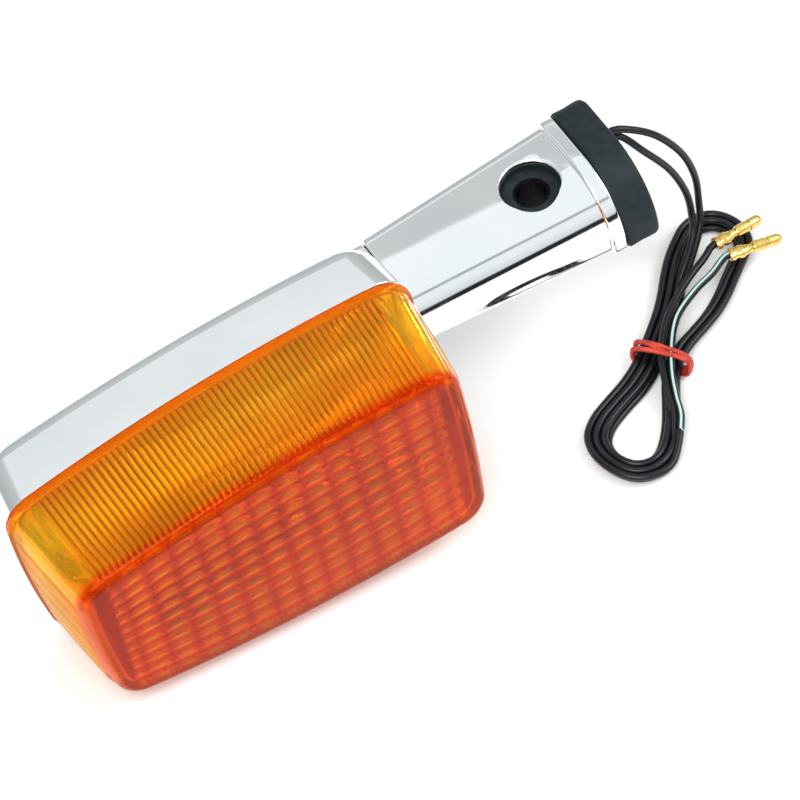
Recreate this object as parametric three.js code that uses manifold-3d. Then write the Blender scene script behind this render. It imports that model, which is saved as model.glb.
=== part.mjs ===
// Motorcycle turn signal indicator: amber lens, chrome housing and stem, rubber mount, bulb and wires.
// Millimetres, +Z up. The lamp lies on its lower side wall; its stem rises gently towards +X.
import * as THREE from 'three';
import Module from 'manifold-3d';

// ---------- driving dimensions ----------
// Lamp axes: x along the stem, z across the lamp, y from the lens (-) to the back (+); y = 0 is the rim.
const RIM_LENGTH = 108;
const RIM_HALF_OUTER = 25;
const RIM_HALF_STEM = 31.5;
const RIM_CORNER = 7;
const SIDE_BOW = 4.3;
const END_BOW = 1.5;
const OUTER_SLANT = 0.1;
const HOUSING_WALL = 1.1;
const LENS_DEPTH = 31;
const LENS_WALL = 3;
const FLANGE_THICKNESS = 1.6;
const RIM_GAP = 0.3;
const STEM_Y = 19.6;
const STEM_Z = 2.2;
const STEM_START = 57;
const STEM_END = 113.6;
const STEM_HALF_Z = [8.75, 9.75];
const STEM_HALF_Y = [13.2, 16.1];
const STEM_WALL = 1.4;
const STEM_FRONT_ROUNDING = 3.6;
const STEM_BACK_ROUNDING = 1.1;
const STEM_FOOT_ROUNDING = 0.6;
const COLLAR_LENGTH = 3.8;
const COLLAR_PROUD = 1;
const NECK_WALL = 2;
const NECK_END_WALL = 3;
const MOUNT_HOLE_X = 98.5;
const MOUNT_HOLE_RADIUS = 7.5;
const MOUNT_THICKNESS = 9.2;
const SLEEVE_BORE = 3.95;
const BULB_Y = 9;
const SOCKET_BACK = 43;
const SOCKET_RADIUS = 7.9;
const BAYONET_PUSH = 2;
const LENS_SCREWS = [{ x: -39, z: -10 }, { x: 39, z: 16 }];
const LENS_SCREW_SEAT = 24;
const STEM_SCREW_SPREAD = 6.6;
const WIRE_RADIUS = 0.95;
const WIRE_Z = [5.6, 2.8];
const WIRE_Y = 26.4;
const CORNER_STEPS = 5;
const LONG_SIDE_STEPS = 10;
const SHORT_SIDE_STEPS = 4;
const TAPER = Math.atan((RIM_HALF_STEM - RIM_HALF_OUTER) / RIM_LENGTH);
// The bowed lower side touches the ground at this x.
const REST_X = -12;
const TILT = Math.atan(Math.tan(TAPER) - 8 * SIDE_BOW * REST_X / RIM_LENGTH ** 2);

// ---------- materials ----------
const paint = (color, roughness, metalness) => new THREE.MeshStandardMaterial({ color, roughness, metalness });
const CHROME = paint(0xe2edef, 0.08, 1);
const BRIGHT_STEEL = paint(0xb9c0c4, 0.3, 1);
const ZINC = paint(0x8f9496, 0.4, 1);
const BRASS = paint(0xd8a22e, 0.3, 1);
const AMBER = paint(0xf07a1c, 0.12, 0);
const RUBBER = paint(0x2b3034, 0.7, 0);
const WIRE_JACKET = paint(0x15191b, 0.5, 0);
const TIE_RUBBER = paint(0xb02a20, 0.6, 0);
const CLEAR_GLASS = paint(0xe8eef0, 0.05, 0);
const PHENOLIC = paint(0x6b3f22, 0.6, 0);
const TUNGSTEN = paint(0x6f7072, 0.4, 1);

// ---------- solid helpers ----------
const wasm = await Module();
wasm.setup();

const solidOf = (geometry) => {
  const position = geometry.getAttribute('position');
  const plainIndex = position.array.map((_, i) => i).slice(0, position.count);
  const index = geometry.index ? geometry.index.array : plainIndex;
  const mesh = new wasm.Mesh({
    numProp: 3,
    vertProperties: Float32Array.from(position.array),
    triVerts: Uint32Array.from(index),
  });
  mesh.merge();
  const solid = new wasm.Manifold(mesh);
  return solid.volume() > 0 ? solid : solidOf(turnedInsideOut(geometry));
};

const turnedInsideOut = (geometry) => {
  const flipped = geometry.clone();
  if (!flipped.index) {
    flipped.setIndex([...Array(flipped.getAttribute('position').count).keys()]);
  }
  const corners = flipped.index.array;
  for (let i = 0; i < corners.length; i += 3) {
    [corners[i], corners[i + 1]] = [corners[i + 1], corners[i]];
  }
  return flipped;
};

const geometryOf = (solid) => {
  const mesh = solid.getMesh();
  const geometry = new THREE.BufferGeometry();
  geometry.setAttribute('position', new THREE.BufferAttribute(Float32Array.from(mesh.vertProperties), 3));
  geometry.setIndex([...mesh.triVerts]);
  geometry.computeVertexNormals();
  return geometry;
};

const lerp = THREE.MathUtils.lerp;

// A closed body through rings of equal length, with a flat cap on each end, or joined into a loop.
const loft = (rings, loop = false) => {
  const count = rings[0].length;
  const vertices = rings.flat().flatMap((p) => [p.x, p.y, p.z]);
  const triangles = [];
  const spans = loop ? rings.length : rings.length - 1;
  for (let k = 0; k < spans; k += 1) {
    const next = (k + 1) % rings.length;
    for (let i = 0; i < count; i += 1) {
      const j = (i + 1) % count;
      triangles.push(k * count + i, k * count + j, next * count + j);
      triangles.push(k * count + i, next * count + j, next * count + i);
    }
  }
  if (!loop) {
    const last = (rings.length - 1) * count;
    for (let i = 1; i < count - 1; i += 1) {
      triangles.push(0, i + 1, i);
      triangles.push(last, last + i, last + i + 1);
    }
  }
  const geometry = new THREE.BufferGeometry();
  geometry.setAttribute('position', new THREE.BufferAttribute(new Float32Array(vertices), 3));
  geometry.setIndex(triangles);
  return solidOf(geometry);
};

const cylinder = (radius, length, axis, x, y, z, sides = 32) => {
  const geometry = new THREE.CylinderGeometry(radius, radius, length, sides);
  if (axis === 'x') geometry.rotateZ(Math.PI / 2);
  if (axis === 'z') geometry.rotateX(Math.PI / 2);
  return solidOf(bare(geometry.translate(x, y, z)));
};

const block = (x0, x1, y0, y1, z0, z1) => {
  const geometry = new THREE.BoxGeometry(x1 - x0, y1 - y0, z1 - z0);
  return solidOf(bare(geometry.translate((x0 + x1) / 2, (y0 + y1) / 2, (z0 + z1) / 2)));
};

const bare = (geometry) => {
  geometry.deleteAttribute('normal');
  geometry.deleteAttribute('uv');
  return geometry;
};

// A body turned around the lamp's bulb axis: profile points are [x, radius], closed along the axis.
const turned = (profile, sides = 32) => {
  const points = profile.map(([x, radius]) => new THREE.Vector2(radius, x));
  const geometry = new THREE.LatheGeometry(points, sides);
  geometry.rotateZ(-Math.PI / 2);
  return solidOf(bare(geometry));
};

// A round wire along a smooth path.
const tube = (points, radius, sides = 8, stepLength = 4) => {
  const path = new THREE.CatmullRomCurve3(points.map((p) => new THREE.Vector3(...p)), false, 'centripetal');
  const outline = new THREE.Shape();
  outline.absarc(0, 0, radius, 0, Math.PI * 2, false);
  const steps = Math.max(4, Math.round(path.getLength() / stepLength));
  const geometry = new THREE.ExtrudeGeometry(outline, { steps, extrudePath: path, curveSegments: sides / 2 });
  return solidOf(bare(geometry));
};

// ---------- outlines ----------
// The lamp's outline moved inwards by inset; its depth may change from the outer end to the stem end,
// and endDraft moves the outer end wall in further, and the stem end wall by a third of that.
const lampRing = (inset, depthOuter, depthStem = depthOuter, radius = RIM_CORNER, endDraft = 0) => {
  const margin = inset + radius;
  const x0 = -RIM_LENGTH / 2 + margin + endDraft;
  const x1 = RIM_LENGTH / 2 - margin - endDraft / 3;
  const half = (x) => halfHeight(x) - margin / Math.cos(TAPER);
  const corners = [
    { x: x1, z: -half(x1), from: -Math.PI / 2 - TAPER, to: 0 },
    { x: x1, z: half(x1), from: 0, to: Math.PI / 2 + TAPER },
    { x: x0, z: half(x0), from: Math.PI / 2 + TAPER, to: Math.PI },
    { x: x0, z: -half(x0), from: Math.PI, to: 1.5 * Math.PI - TAPER },
  ];
  const arcs = corners.map((corner) => arc(corner, radius));
  const ring = arcs.flatMap((points, i) => {
    const steps = i % 2 ? LONG_SIDE_STEPS : SHORT_SIDE_STEPS;
    return [...points, ...side(points.at(-1), arcs[(i + 1) % 4][0], steps)];
  });
  return ring.map(bowed).map(({ a, b }) => {
    return new THREE.Vector3(a, lerp(depthOuter, depthStem, a / RIM_LENGTH + 0.5), b);
  });
};

const halfHeight = (x) => lerp(RIM_HALF_OUTER, RIM_HALF_STEM, x / RIM_LENGTH + 0.5);

const side = (from, to, steps) => {
  return Array.from({ length: steps - 1 }, (_, i) => {
    const share = (i + 1) / steps;
    return { a: lerp(from.a, to.a, share), b: lerp(from.b, to.b, share) };
  });
};

// Bows straight sides outwards, the long sides by SIDE_BOW and the ends by END_BOW in their middles,
// and slants the outer end, its top outwards.
const bowed = ({ a, b }) => {
  const alongShare = a / (RIM_LENGTH / 2);
  const acrossShare = b / halfHeight(a);
  return {
    a: a + END_BOW * alongShare * (1 - acrossShare ** 2) - OUTER_SLANT * b * (0.5 - alongShare / 2) ** 2,
    b: b + SIDE_BOW * acrossShare * (1 - alongShare ** 2),
  };
};

const arc = (corner, radius) => {
  const points = [];
  for (let i = 0; i <= CORNER_STEPS; i += 1) {
    const angle = lerp(corner.from, corner.to, i / CORNER_STEPS);
    points.push({ a: corner.x + radius * Math.cos(angle), b: corner.z + radius * Math.sin(angle) });
  }
  return points;
};

// A section across the stem axis: widely rounded from the top down to the front, with a flat foot.
const stemRing = (x, halfZ, halfY, radius) => {
  const quarter = Math.PI / 2;
  const signs = [[1, -1], [1, 1], [-1, 1], [-1, -1]];
  return signs.flatMap(([sideways, up], i) => {
    const topRounding = sideways < 0 ? STEM_FRONT_ROUNDING : STEM_BACK_ROUNDING;
    const bend = radius * (up > 0 ? topRounding : STEM_FOOT_ROUNDING);
    const middle = { x: sideways * (halfY - bend), z: up * (halfZ - bend) };
    return arc({ ...middle, from: (i - 1) * quarter, to: i * quarter }, bend);
  }).map(({ a, b }) => new THREE.Vector3(x, STEM_Y + a, STEM_Z + b));
};

const STEM_SCREW_YS = [STEM_Y - STEM_SCREW_SPREAD, STEM_Y + STEM_SCREW_SPREAD];

// ---------- housing ----------
const HOUSING_RINGS = [
  [0, 0, 0, 7, 0],
  [0, 13.8, 12, 7, 1.6],
  [1.4, 17, 15.2, 7, 2.3],
  [4.5, 21.6, 19.6, 7, 2.8],
  [9, 26.4, 25, 6, 3],
  [13, 30.4, 29.8, 5, 3],
  [15, 32.1, 32, 4, 3],
];
const housingOuter = loft(HOUSING_RINGS.map((ring) => lampRing(...ring)));
const housingInner = loft([
  lampRing(HOUSING_WALL, -1, -1, 6, 0),
  ...HOUSING_RINGS.slice(1).map(([inset, outer, stem, , draft]) => {
    const wall = HOUSING_WALL * 0.9;
    return lampRing(inset + wall, outer - wall, stem - wall, 4.5, draft);
  }),
]);
const screwPads = LENS_SCREWS.map(({ x, z }) => {
  return cylinder(6, 14, 'y', x, LENS_SCREW_SEAT + 2.5, z).intersect(housingOuter);
});
const neck = loft([
  stemRing(38, STEM_HALF_Z[0] - 0.6, STEM_HALF_Y[0] - 0.5, 3.8),
  stemRing(STEM_START - 0.15, STEM_HALF_Z[0] - 0.6, STEM_HALF_Y[0] - 0.5, 3.8),
]);
const neckBore = loft([
  stemRing(40, STEM_HALF_Z[0] - NECK_WALL, STEM_HALF_Y[0] - NECK_WALL, 3.2),
  stemRing(STEM_START - NECK_END_WALL, STEM_HALF_Z[0] - NECK_WALL, STEM_HALF_Y[0] - NECK_WALL, 3.2),
]);
let housing = housingOuter.subtract(housingInner);
screwPads.forEach((pad) => { housing = housing.add(pad); });
housing = housing.add(neck.subtract(housingInner)).subtract(neckBore);
LENS_SCREWS.forEach(({ x, z }) => {
  housing = housing.subtract(cylinder(4.6, 20, 'y', x, LENS_SCREW_SEAT + 10, z));
  housing = housing.subtract(cylinder(2.2, 30, 'y', x, 20, z));
});
STEM_SCREW_YS.forEach((y) => {
  housing = housing.subtract(cylinder(2.2, 8, 'x', STEM_START - 2, y, STEM_Z));
});
housing = housing.subtract(cylinder(3, 8, 'x', STEM_START - 2, STEM_Y, STEM_Z));

// ---------- lens ----------
const LENS_RINGS = [
  [12.5, -LENS_DEPTH, 5],
  [7.5, -LENS_DEPTH + 0.15, 5],
  [4.9, -LENS_DEPTH + 0.5, 5],
  [3.8, -LENS_DEPTH + 1.3, 5.8],
  [3.4, -LENS_DEPTH + 2.6, 6.2],
  [0.8, -FLANGE_THICKNESS - 0.4, 7],
  [0, -FLANGE_THICKNESS, 7],
  [0, -RIM_GAP, 7],
];
const lensOuter = loft(LENS_RINGS.map(([inset, depth, radius]) => lampRing(inset, depth, depth, radius)));
const lensInner = loft([
  lampRing(12.5, -LENS_DEPTH + LENS_WALL, -LENS_DEPTH + LENS_WALL, 4),
  lampRing(7.2, -LENS_DEPTH + LENS_WALL + 0.4, -LENS_DEPTH + LENS_WALL + 0.4, 4),
  lampRing(6.4, -LENS_DEPTH + LENS_WALL + 2, -LENS_DEPTH + LENS_WALL + 2, 4.4),
  lampRing(3.4, 1, 1, 5),
]);
let lens = lensOuter.subtract(lensInner);
LENS_SCREWS.forEach(({ x, z }) => {
  const start = -LENS_DEPTH + 1.5;
  const end = LENS_SCREW_SEAT - 4.8;
  lens = lens.add(cylinder(3.5, end - start, 'y', x, (start + end) / 2, z));
  lens = lens.subtract(cylinder(2, 18, 'y', x, end - 8, z));
});
const gasketRings = [[1.9, -RIM_GAP + 0.1], [3.3, -RIM_GAP + 0.1], [3.3, 1.6], [1.9, 1.6]];
const gasket = loft(gasketRings.map(([inset, depth]) => lampRing(inset, depth, depth, 5)), true);

// ---------- reflector ----------
const REFLECTOR_RINGS = [[7, 8, 8], [9, 12.5, 12], [12, 17.5, 17], [15.5, 22.3, 22.3]];
const reflectorOuter = loft(REFLECTOR_RINGS.map(([inset, outer, stem]) => lampRing(inset, outer, stem, 4)));
const reflectorInner = loft([
  lampRing(7.7, 6, 6, 3.6),
  ...REFLECTOR_RINGS.slice(1).map(([inset, outer, stem]) => lampRing(inset + 0.8, outer - 0.8, stem - 0.8, 3.4)),
]);
const padHole = cylinder(6.4, 40, 'y', LENS_SCREWS[0].x, 15, LENS_SCREWS[0].z);
const reflectorShell = reflectorOuter.subtract(reflectorInner);
const reflector = reflectorShell.intersect(block(-60, 12, -5, 40, -40, 40)).subtract(padHole);

// ---------- bulb and socket ----------
const BASE_START = SOCKET_BACK - 20;
const BASE_END = SOCKET_BACK - 5;
const PIN_X = BASE_START + 9;
const onBulbAxis = (solid) => solid.translate([0, BULB_Y, 0]);
const bulbGlass = onBulbAxis(turned([
  [BASE_START + 3, 6.2], [BASE_START + 3, 6.9], [BASE_START - 0.5, 7], [BASE_START - 6, 9.6], [BASE_START - 13, 12],
  [BASE_START - 20, 12.4], [BASE_START - 27, 10.2], [BASE_START - 30.5, 6], [BASE_START - 31.6, 0],
  [BASE_START - 30.8, 0], [BASE_START - 29.8, 5.6], [BASE_START - 26.5, 9.5], [BASE_START - 20, 11.6],
  [BASE_START - 13, 11.2], [BASE_START - 6, 8.8], [BASE_START - 0.5, 6.2], [BASE_START + 3, 6.2],
], 24));
let bulbBase = onBulbAxis(turned([
  [BASE_START, 7.1], [BASE_START, 7.6], [BASE_END - 1, 7.6], [BASE_END, 6.8], [BASE_END, 0],
  [BASE_END - 1.5, 0], [BASE_END - 1.5, 7.1], [BASE_START, 7.1],
]));
[-1, 1].forEach((side) => {
  bulbBase = bulbBase.add(cylinder(1, 1.3, 'z', PIN_X, BULB_Y, side * 7.95, 16));
});
const bulbContact = onBulbAxis(turned([
  [BASE_END + 0.05, 0], [BASE_END + 0.05, 2.6], [BASE_END + 1.2, 2.4], [BASE_END + 2, 0],
], 24));
const filament = tube([
  [BASE_START + 10, BULB_Y, -2], [BASE_START, BULB_Y, -2.2], [BASE_START - 14, BULB_Y, -3.6], [BASE_START - 16, BULB_Y, -2.4],
  [BASE_START - 16, BULB_Y, 2.4], [BASE_START - 14, BULB_Y, 3.6], [BASE_START, BULB_Y, 2.2], [BASE_START + 10, BULB_Y, 2],
], 0.35, 6, 2);

let socketShell = onBulbAxis(turned([
  [SOCKET_BACK - 19, SOCKET_RADIUS], [SOCKET_BACK - 19, SOCKET_RADIUS + 0.8], [SOCKET_BACK - 0.05, SOCKET_RADIUS + 0.8],
  [SOCKET_BACK - 0.05, SOCKET_RADIUS], [SOCKET_BACK - 19, SOCKET_RADIUS],
], 40));
[0, 180].forEach((turn) => {
  const window = block(PIN_X - 1.5, PIN_X + BAYONET_PUSH + 1.5, -3, 3, 6, 10).rotate([-10 + turn, 0, 0]);
  socketShell = socketShell.subtract(onBulbAxis(window));
});
const FOOT_BACK = STEM_START - NECK_END_WALL - 0.1;
const footPlate = loft([
  stemRing(FOOT_BACK - 1.2, STEM_HALF_Z[0] - NECK_WALL - 0.3, STEM_HALF_Y[0] - NECK_WALL - 0.3, 3),
  stemRing(FOOT_BACK, STEM_HALF_Z[0] - NECK_WALL - 0.3, STEM_HALF_Y[0] - NECK_WALL - 0.3, 3),
]);
let bracket = cylinder(9.5, 1.2, 'x', SOCKET_BACK + 0.6, BULB_Y, 0, 40);
bracket = bracket.add(block(SOCKET_BACK, FOOT_BACK, 16.6, 17.8, STEM_Z - 5, STEM_Z + 5)).add(footPlate);
bracket = bracket.subtract(cylinder(4, 4, 'x', SOCKET_BACK, BULB_Y, 0));
bracket = bracket.subtract(cylinder(3, 4, 'x', FOOT_BACK, STEM_Y, STEM_Z));
STEM_SCREW_YS.forEach((y) => {
  bracket = bracket.subtract(cylinder(2.2, 4, 'x', FOOT_BACK, y, STEM_Z));
});
const insulator = onBulbAxis(turned([
  [SOCKET_BACK + 1.3, 3.8], [SOCKET_BACK + 1.3, 4.8], [SOCKET_BACK + 6.5, 4.8], [SOCKET_BACK + 6.5, 1.3],
  [SOCKET_BACK + 5, 1.3], [SOCKET_BACK + 5, 3.8], [SOCKET_BACK + 1.3, 3.8],
]));
const PLUNGER_FACE = BASE_END + 2.05;
const plunger = onBulbAxis(turned([
  [PLUNGER_FACE, 0], [PLUNGER_FACE, 3.4], [PLUNGER_FACE + 1.2, 3.4], [PLUNGER_FACE + 1.2, 0.9],
  [SOCKET_BACK + 6.9, 0.9], [SOCKET_BACK + 6.9, 0],
], 24));
const SPRING_LENGTH = SOCKET_BACK + 4.5 - (PLUNGER_FACE + 1.7);
const springPoints = Array.from({ length: 41 }, (_, i) => {
  const angle = (i / 10) * Math.PI * 2;
  return [PLUNGER_FACE + 1.7 + (SPRING_LENGTH * i) / 40, BULB_Y + 2.6 * Math.cos(angle), 2.6 * Math.sin(angle)];
});
const spring = tube(springPoints, 0.3, 6, 1.6);

// ---------- screws ----------
const lensScrew = ({ x, z }) => {
  const head = cylinder(3.6, 2.4, 'y', x, LENS_SCREW_SEAT + 1.25, z);
  const shank = cylinder(1.92, 18, 'y', x, LENS_SCREW_SEAT - 8.8, z);
  const slot = block(x - 2.6, x + 2.6, LENS_SCREW_SEAT + 1.3, LENS_SCREW_SEAT + 4, z - 0.6, z + 0.6);
  const crossSlot = slot.translate([-x, 0, -z]).rotate([0, 90, 0]).translate([x, 0, z]);
  return head.add(shank).subtract(slot).subtract(crossSlot);
};
const stemScrew = (y) => {
  const seat = FOOT_BACK - 1.25;
  const head = cylinder(2.9, 2.2, 'x', seat - 1.1, y, STEM_Z);
  const shank = cylinder(1.92, 17, 'x', seat + 8.4, y, STEM_Z);
  const slot = block(seat - 4, seat - 1.2, y - 0.5, y + 0.5, STEM_Z - 2.3, STEM_Z + 2.3);
  return head.add(shank).subtract(slot);
};

// ---------- stem ----------
const stemBodyEnd = STEM_END - COLLAR_LENGTH;
const collarZ = STEM_HALF_Z[1] + COLLAR_PROUD;
const collarY = STEM_HALF_Y[1] + COLLAR_PROUD;
const stemOuter = loft([
  stemRing(STEM_START, STEM_HALF_Z[0] - 0.5, STEM_HALF_Y[0] - 0.5, 3.8),
  stemRing(STEM_START + 0.6, STEM_HALF_Z[0], STEM_HALF_Y[0], 4),
  stemRing(stemBodyEnd, STEM_HALF_Z[1], STEM_HALF_Y[1], 4),
  stemRing(stemBodyEnd + 0.4, collarZ, collarY, 4.6),
  stemRing(STEM_END - 0.5, collarZ, collarY, 4.6),
  stemRing(STEM_END, collarZ - 0.5, collarY - 0.5, 4.2),
]);
const stemInner = loft([
  stemRing(STEM_START + 5, STEM_HALF_Z[0] - STEM_WALL, STEM_HALF_Y[0] - STEM_WALL, 3.4),
  stemRing(STEM_END + 1, STEM_HALF_Z[1] - STEM_WALL, STEM_HALF_Y[1] - STEM_WALL, 3.4),
]);
let stem = stemOuter.subtract(stemInner);
stem = stem.subtract(cylinder(MOUNT_HOLE_RADIUS, 12, 'z', MOUNT_HOLE_X, STEM_Y, STEM_Z + STEM_HALF_Z[1], 48));
stem = stem.subtract(cylinder(4.4, 12, 'z', MOUNT_HOLE_X, STEM_Y, STEM_Z - STEM_HALF_Z[1]));
stem = stem.subtract(cylinder(3, 14, 'x', STEM_START + 2, STEM_Y, STEM_Z));
STEM_SCREW_YS.forEach((y) => {
  stem = stem.subtract(cylinder(2, 14, 'x', STEM_START + 2, y, STEM_Z));
});

// ---------- rubber mount ----------
const MOUNT_START = STEM_END + 0.15;
const MOUNT_FACE = MOUNT_START + MOUNT_THICKNESS;
const plug = loft([
  stemRing(84, 6.6, 11.8, 2.4),
  stemRing(86, 7.2, 12.4, 2.8),
  stemRing(MOUNT_START + 1, 8, 14.3, 3.2),
]);
const flange = loft([
  stemRing(MOUNT_START, 10.3, 16.6, 4.4),
  stemRing(MOUNT_START + 1, 11.1, 17.4, 5),
  stemRing(MOUNT_FACE - 1.2, 11.1, 17.4, 5),
  stemRing(MOUNT_FACE, 10, 16.3, 4.4),
]);
let mountRubber = flange.add(plug).subtract(cylinder(4.65, 60, 'z', MOUNT_HOLE_X, STEM_Y, 0));
mountRubber = mountRubber.subtract(cylinder(MOUNT_HOLE_RADIUS - 0.15, 4, 'z', MOUNT_HOLE_X, STEM_Y, STEM_Z + 8.4));
WIRE_Z.forEach((z) => {
  mountRubber = mountRubber.subtract(cylinder(1.25, 60, 'x', MOUNT_START - 5, WIRE_Y, z, 16));
});
const sleeve = cylinder(4.55, 13.2, 'z', MOUNT_HOLE_X, STEM_Y, STEM_Z - 0.7).subtract(
  cylinder(SLEEVE_BORE, 40, 'z', MOUNT_HOLE_X, STEM_Y, 0),
);

// ---------- wires inside the stem ----------
const innerWire = (start, side, exit) => tube([
  start,
  [52, (start[1] + STEM_Y) / 2, STEM_Z + side * 2],
  [54, STEM_Y, STEM_Z + side * 1.35],
  [62, STEM_Y, STEM_Z + side * 1.35],
  [75, 23, exit],
  [83, WIRE_Y, exit],
  [92, WIRE_Y, exit],
  [110, WIRE_Y, exit],
  [MOUNT_FACE - 0.3, WIRE_Y, exit],
], 0.85);
const innerSignal = innerWire([SOCKET_BACK + 7.5, 19, 6], 1, WIRE_Z[0]);
const innerGround = innerWire([SOCKET_BACK + 7.5, 21.5, -2], -1, WIRE_Z[1]);

// ---------- the lamp group, turned to lie on its lower side wall ----------
const lamp = new THREE.Group();
lamp.name = 'lamp';
lamp.rotation.y = -TILT;
const restPoint = bowed({ a: REST_X, b: -halfHeight(REST_X) });
lamp.position.z = -restPoint.b * Math.cos(TILT) - restPoint.a * Math.sin(TILT);

const place = (group, name, solid, material) => {
  const mesh = new THREE.Mesh(geometryOf(solid), material);
  mesh.name = name;
  group.add(mesh);
};

place(lamp, 'housing', housing, CHROME);
place(lamp, 'lens', lens, AMBER);
place(lamp, 'lens_gasket', gasket, RUBBER);
place(lamp, 'reflector', reflector, BRIGHT_STEEL);
place(lamp, 'bulb_glass', bulbGlass, CLEAR_GLASS);
place(lamp, 'bulb_base', bulbBase, BRASS);
place(lamp, 'bulb_contact', bulbContact, BRIGHT_STEEL);
place(lamp, 'bulb_filament', filament, TUNGSTEN);
place(lamp, 'socket_shell', socketShell, ZINC);
place(lamp, 'socket_bracket', bracket, ZINC);
place(lamp, 'socket_insulator', insulator, PHENOLIC);
place(lamp, 'contact_plunger', plunger, BRASS);
place(lamp, 'contact_spring', spring, BRIGHT_STEEL);
LENS_SCREWS.forEach((spot, i) => place(lamp, `lens_screw_${i + 1}`, lensScrew(spot), ZINC));
STEM_SCREW_YS.forEach((y, i) => place(lamp, `stem_screw_${i + 1}`, stemScrew(y), ZINC));
place(lamp, 'stem', stem, CHROME);
place(lamp, 'mount_rubber', mountRubber, RUBBER);
place(lamp, 'mount_sleeve', sleeve, ZINC);
place(lamp, 'inner_wire_signal', innerSignal, WIRE_JACKET);
place(lamp, 'inner_wire_ground', innerGround, WIRE_JACKET);

// ---------- wires, hank and bullet terminals lying beside the mount ----------
const harness = new THREE.Group();
harness.name = 'harness';
const onLamp = (x, y, z) => new THREE.Vector3(x, y, z).applyEuler(lamp.rotation).add(lamp.position).toArray();
const HANK_TOP = 4.8;
const HANK_NEAR = new THREE.Vector2(146.5, 18.5);
const HANK_FAR = new THREE.Vector2(97, -25.5);
const HANK_NEAR_LOBE = 10.8;
const HANK_FAR_LOBE = 12.4;
const HANK_WAIST = 7;
const TIE_PLACE = 40;

const hankShape = new THREE.Shape();
const along = HANK_FAR.clone().sub(HANK_NEAR);
const hankLength = along.length();
const hankTurn = Math.atan2(along.y, along.x);
const farStart = hankLength - 12;
hankShape.absarc(0, 0, HANK_NEAR_LOBE, Math.PI / 2, Math.PI * 1.5, false);
hankShape.bezierCurveTo(12, -HANK_NEAR_LOBE, TIE_PLACE - 14, -HANK_WAIST, TIE_PLACE, -HANK_WAIST);
hankShape.bezierCurveTo(TIE_PLACE + 8, -HANK_WAIST, farStart, -HANK_FAR_LOBE, hankLength, -HANK_FAR_LOBE);
hankShape.absarc(hankLength, 0, HANK_FAR_LOBE, Math.PI * 1.5, Math.PI * 2.5, false);
hankShape.bezierCurveTo(farStart, HANK_FAR_LOBE, TIE_PLACE + 8, HANK_WAIST, TIE_PLACE, HANK_WAIST);
hankShape.bezierCurveTo(TIE_PLACE - 14, HANK_WAIST, 12, HANK_NEAR_LOBE, 0, HANK_NEAR_LOBE);
const hankGeometry = new THREE.ExtrudeGeometry(hankShape, {
  depth: HANK_TOP - 2.25, bevelEnabled: true, bevelThickness: 1.1, bevelSize: 0.9, bevelOffset: -0.9, bevelSegments: 2, curveSegments: 10,
});
const onHank = (solid) => {
  return solid.rotate([0, 0, THREE.MathUtils.radToDeg(hankTurn)]).translate([HANK_NEAR.x, HANK_NEAR.y, 0]);
};
const tieWay = block(TIE_PLACE - 2, TIE_PLACE + 2, -20, 20, -1, 0.9);
const hank = onHank(solidOf(bare(hankGeometry)).translate([0, 0, 1.15]).subtract(tieWay));

const tieRing = (x, grow) => {
  const halfWidth = HANK_WAIST + 0.45 + grow;
  const bottom = 0.45 - grow * 0.4;
  const top = HANK_TOP + 0.15 + grow * 0.8;
  const radius = 1.4 + grow * 0.5;
  const signs = [[1, -1], [1, 1], [-1, 1], [-1, -1]];
  return signs.flatMap(([side, up], i) => {
    const corner = {
      x: side * (halfWidth - radius),
      z: (top + bottom) / 2 + up * ((top - bottom) / 2 - radius),
      from: (i - 1) * (Math.PI / 2),
      to: i * (Math.PI / 2),
    };
    return arc(corner, radius);
  }).map(({ a, b }) => new THREE.Vector3(x, a, b));
};
const tie = onHank(loft([tieRing(TIE_PLACE - 1.2, 1), tieRing(TIE_PLACE + 1.2, 1)])
  .subtract(loft([tieRing(TIE_PLACE - 3, 0), tieRing(TIE_PLACE + 3, 0)])));

const leadSignal = tube([
  onLamp(MOUNT_FACE + 0.1, WIRE_Y, WIRE_Z[0]), onLamp(MOUNT_FACE + 4, WIRE_Y - 0.4, WIRE_Z[0] - 0.1),
  [134.2, 24.2, 45], [140.9, 22.8, 36], [144.4, 22.2, 26], [145.5, 22.2, 14], [145.2, 21, 8], [144.2, 18, 5.95],
], WIRE_RADIUS);
const leadGround = tube([
  onLamp(MOUNT_FACE + 0.1, WIRE_Y, WIRE_Z[1]), onLamp(MOUNT_FACE + 3.5, WIRE_Y - 0.5, WIRE_Z[1] - 0.3),
  [131, 23.4, 41.5], [137.4, 22.4, 32], [141.4, 21.8, 22], [142.7, 21.4, 12], [142.2, 20, 7.6], [140.6, 17, 5.95],
], WIRE_RADIUS);
const tailSignal = tube([[118.5, 0.5, 5.95], [125, 5, 5.95], [134.5, 11, 5.95], [144.6, 14.4, 5.95]], WIRE_RADIUS);
const tailGround = tube([[119, -4.5, 5.95], [125.3, 0.2, 5.95], [135.7, 6.2, 5.95], [145.6, 9.4, 5.95]], WIRE_RADIUS);

const bullet = (x, y, z, heading) => turned([
  [0, 0], [0, 1.7], [4.6, 1.7], [5, 1.2], [6, 1.2], [6.5, 1.5], [12.9, 1.5], [14, 1], [14.5, 0],
], 20).rotate([0, 0, heading]).translate([x, y, z]);

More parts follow.
